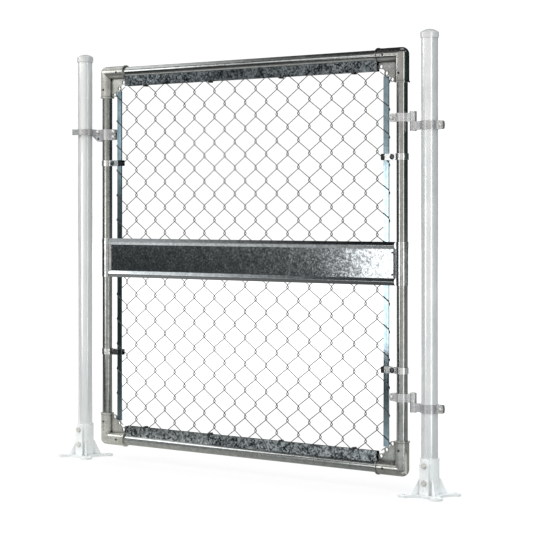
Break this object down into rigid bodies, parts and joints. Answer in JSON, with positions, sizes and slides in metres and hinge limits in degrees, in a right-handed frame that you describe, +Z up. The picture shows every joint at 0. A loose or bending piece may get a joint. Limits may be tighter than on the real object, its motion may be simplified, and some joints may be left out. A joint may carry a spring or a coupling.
{
  "type": "chain link gate",
  "caption": "Square chain link walk gate on flanged posts, with a plain panel across the middle, strap hinges and a fork latch.",
  "frame": {"origin": "centre of the hinge post's foot, on the ground", "axes": "+Z up; the leaf runs along -X from the hinge post to the latch post; -Y is the front with the panel"},
  "size_m": [1.565, 0.148, 1.419],
  "materials": {
    "galvanised_tube": "semi-gloss galvanised tube with drawn streaks",
    "cast_grey": "satin cast surface",
    "spangled_sheet": "galvanised sheet with a visible spangle",
    "sleeve_sheet": "bright galvanised sheet",
    "fabric_wire": "galvanised wire",
    "blued_bar": "galvanised flat bar with a blue tinge",
    "band_strap": "galvanised strap",
    "pale_post": "pale galvanised tube",
    "pale_casting": "pale cast surface",
    "pale_hardware": "pale galvanised fitting",
    "dark_fastener": "dark zinc",
    "zinc_fastener": "zinc plated"
  },
  "bodies": {
    "posts": {"hinge_post": "pale_post", "latch_post": "pale_post", "hinge_post_cap": "pale_casting", "latch_post_cap": "pale_casting", "hinge_post_foot": "pale_casting", "latch_post_foot": "pale_casting", "foot_bolts": "zinc_fastener", "post_hinge_lower": "pale_hardware", "post_hinge_upper": "pale_hardware", "post_hinge_bolts": "zinc_fastener"},
    "leaf": {"band_bolts": "dark_fastener", "bottom_rail": "galvanised_tube", "bottom_strip": "spangled_sheet", "chain_link_mesh": "fabric_wire", "elbow_lower_left": "cast_grey", "elbow_lower_right": "cast_grey", "elbow_screws": "dark_fastener", "elbow_upper_left": "cast_grey", "elbow_upper_right": "cast_grey", "gate_hinge_bolts": "zinc_fastener", "gate_hinge_lower": "pale_hardware", "gate_hinge_upper": "pale_hardware", "latch_clamp": "pale_hardware", "latch_clamp_bolts": "zinc_fastener", "latch_pin": "zinc_fastener", "left_upright": "galvanised_tube", "mid_panel": "spangled_sheet", "panel_rivets": "dark_fastener", "panel_sleeve_left": "sleeve_sheet", "panel_sleeve_right": "sleeve_sheet", "right_upright": "galvanised_tube", "strip_clips": "dark_fastener", "tension_band_lower_left": "band_strap", "tension_band_lower_right": "band_strap", "tension_band_upper_left": "band_strap", "tension_band_upper_right": "band_strap", "tension_bar_left": "blued_bar", "tension_bar_right": "blued_bar", "top_rail": "galvanised_tube", "top_strip": "spangled_sheet"},
    "fork": {"latch_fork": "pale_hardware"}
  },
  "joints": [
    {"name": "gate_swing", "type": "hinge", "parent": "posts", "child": "leaf", "pos_m": [-0.058, 0, 0], "axis": [0, 0, 1], "range_deg": [-90, 90]},
    {"name": "fork_lift", "type": "hinge", "parent": "leaf", "child": "fork", "pos_m": [-1.3475, 0, 1.142], "axis": [0, 1, 0], "range_deg": [0, 85]}
  ]
}
